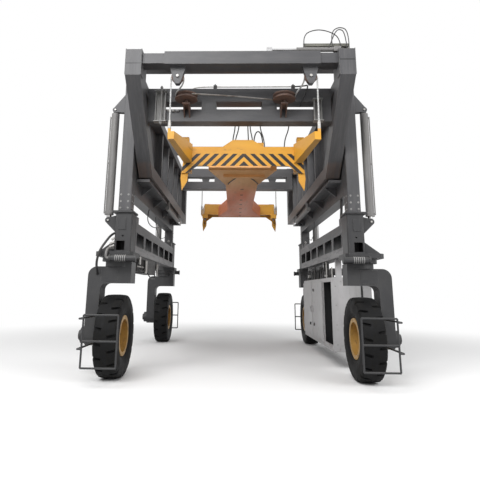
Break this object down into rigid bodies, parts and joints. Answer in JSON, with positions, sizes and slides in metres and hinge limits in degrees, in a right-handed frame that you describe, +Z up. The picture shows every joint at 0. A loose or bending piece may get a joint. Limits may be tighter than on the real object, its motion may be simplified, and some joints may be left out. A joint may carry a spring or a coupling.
{
  "type": "rubber tyred gantry crane",
  "caption": "Four-wheeled container gantry crane with lifting legs, sliding inner frame, side shift and a rope-hung 20 ft spreader.",
  "frame": {"origin": "on the ground, midway between the four wheels", "axes": "+X to the right side with the power pack, -Y to the front, +Z up"},
  "size_m": [5.97, 8.66, 6.3998],
  "materials": {
    "structure_paint": "satin, dusty dark grey",
    "slew_steel": "satin",
    "bright_rod": "polished",
    "cylinder_paint": "satin",
    "sheave_iron": "rust-brown primer",
    "rope_wire": "wire rope",
    "spreader_yellow": "semi-gloss",
    "lock_steel": "worn",
    "cabinet_grey": "satin",
    "engine_iron": "matt",
    "hydraulic_black": "satin",
    "tyre": "matt",
    "rim_gold": "satin"
  },
  "bodies": {
    "portal": {"legs_left": "structure_paint", "legs_right": "structure_paint", "girder_left": "structure_paint", "girder_right": "structure_paint", "portal_ties": "structure_paint", "lift_barrels_left": "structure_paint", "lift_barrels_right": "structure_paint", "frame_shift_rods": "bright_rod"},
    "base_left": {"columns_left": "structure_paint", "side_beam_left": "structure_paint", "slew_drives_left": "slew_steel", "lift_rods_left": "bright_rod", "hydraulic_unit": "hydraulic_black"},
    "base_right": {"columns_right": "structure_paint", "side_beam_right": "structure_paint", "slew_drives_right": "slew_steel", "lift_rods_right": "bright_rod", "power_pack": "cabinet_grey", "engine": "engine_iron", "muffler": "engine_iron"},
    "inner_frame": {"inner_side_left": "structure_paint", "inner_side_right": "structure_paint", "cross_members": "structure_paint", "turning_sheaves": "sheave_iron", "shift_barrels": "cylinder_paint"},
    "side_shift": {"shift_tubes": "structure_paint", "hanger_sheaves": "sheave_iron", "side_shift_rod": "bright_rod", "hoist_ropes": "rope_wire"},
    "spreader": {"spreader_core": "spreader_yellow", "spreader_ends": "spreader_yellow", "twistlocks": "lock_steel"},
    "door_front": {"power_pack_door_front": "cabinet_grey"},
    "door_rear": {"power_pack_door_rear": "cabinet_grey"},
    "fork_front_left": {"fork_front_left": "structure_paint"},
    "wheel_front_left": {"tyre_front_left": "tyre", "rim_front_left": "rim_gold"},
    "fork_rear_left": {"fork_rear_left": "structure_paint"},
    "wheel_rear_left": {"tyre_rear_left": "tyre", "rim_rear_left": "rim_gold"},
    "fork_front_right": {"fork_front_right": "structure_paint"},
    "wheel_front_right": {"tyre_front_right": "tyre", "rim_front_right": "rim_gold"},
    "fork_rear_right": {"fork_rear_right": "structure_paint"},
    "wheel_rear_right": {"tyre_rear_right": "tyre", "rim_rear_right": "rim_gold"}
  },
  "joints": [
    {"name": "lift_left", "type": "slide", "parent": "portal", "child": "base_left", "axis": [0, 0, -1], "range_m": [0, 1.8]},
    {"name": "lift_right", "type": "slide", "parent": "portal", "child": "base_right", "axis": [0, 0, -1], "range_m": [0, 1.8]},
    {"name": "frame_slide", "type": "slide", "parent": "portal", "child": "inner_frame", "axis": [0, 1, 0], "range_m": [-1.2, 0.25]},
    {"name": "side_shift_slide", "type": "slide", "parent": "inner_frame", "child": "side_shift", "axis": [1, 0, 0], "range_m": [-0.23, 0.07]},
    {"name": "hoist", "type": "slide", "parent": "side_shift", "child": "spreader", "axis": [0, 0, 1], "range_m": [-3.2, 0.12], "deforming": ["hoist_ropes"]},
    {"name": "door_front_hinge", "type": "hinge", "parent": "base_right", "child": "door_front", "pos_m": [2.01, -0.729, 1.1], "axis": [0, 0, 1], "range_deg": [0, 110]},
    {"name": "door_rear_hinge", "type": "hinge", "parent": "base_right", "child": "door_rear", "pos_m": [2.01, 2.109, 1.1], "axis": [0, 0, -1], "range_deg": [0, 110]},
    {"name": "steer_front_left", "type": "hinge", "parent": "base_left", "child": "fork_front_left", "pos_m": [-2.32, -2.98, 2.1], "axis": [0, 0, 1], "range_deg": [-90, 90]},
    {"name": "spin_front_left", "type": "hinge", "parent": "fork_front_left", "child": "wheel_front_left", "pos_m": [-2.32, -2.98, 0.745], "axis": [1, 0, 0], "continuous": true},
    {"name": "steer_rear_left", "type": "hinge", "parent": "base_left", "child": "fork_rear_left", "pos_m": [-2.32, 2.98, 2.1], "axis": [0, 0, 1], "range_deg": [-90, 90]},
    {"name": "spin_rear_left", "type": "hinge", "parent": "fork_rear_left", "child": "wheel_rear_left", "pos_m": [-2.32, 2.98, 0.745], "axis": [1, 0, 0], "continuous": true},
    {"name": "steer_front_right", "type": "hinge", "parent": "base_right", "child": "fork_front_right", "pos_m": [2.32, -2.98, 2.1], "axis": [0, 0, 1], "range_deg": [-90, 90]},
    {"name": "spin_front_right", "type": "hinge", "parent": "fork_front_right", "child": "wheel_front_right", "pos_m": [2.32, -2.98, 0.745], "axis": [1, 0, 0], "continuous": true},
    {"name": "steer_rear_right", "type": "hinge", "parent": "base_right", "child": "fork_rear_right", "pos_m": [2.32, 2.98, 2.1], "axis": [0, 0, 1], "range_deg": [-90, 90]},
    {"name": "spin_rear_right", "type": "hinge", "parent": "fork_rear_right", "child": "wheel_rear_right", "pos_m": [2.32, 2.98, 0.745], "axis": [1, 0, 0], "continuous": true}
  ],
  "couplings": [
    {"joint": "lift_right", "follows": "lift_left", "ratio": 1}
  ]
}
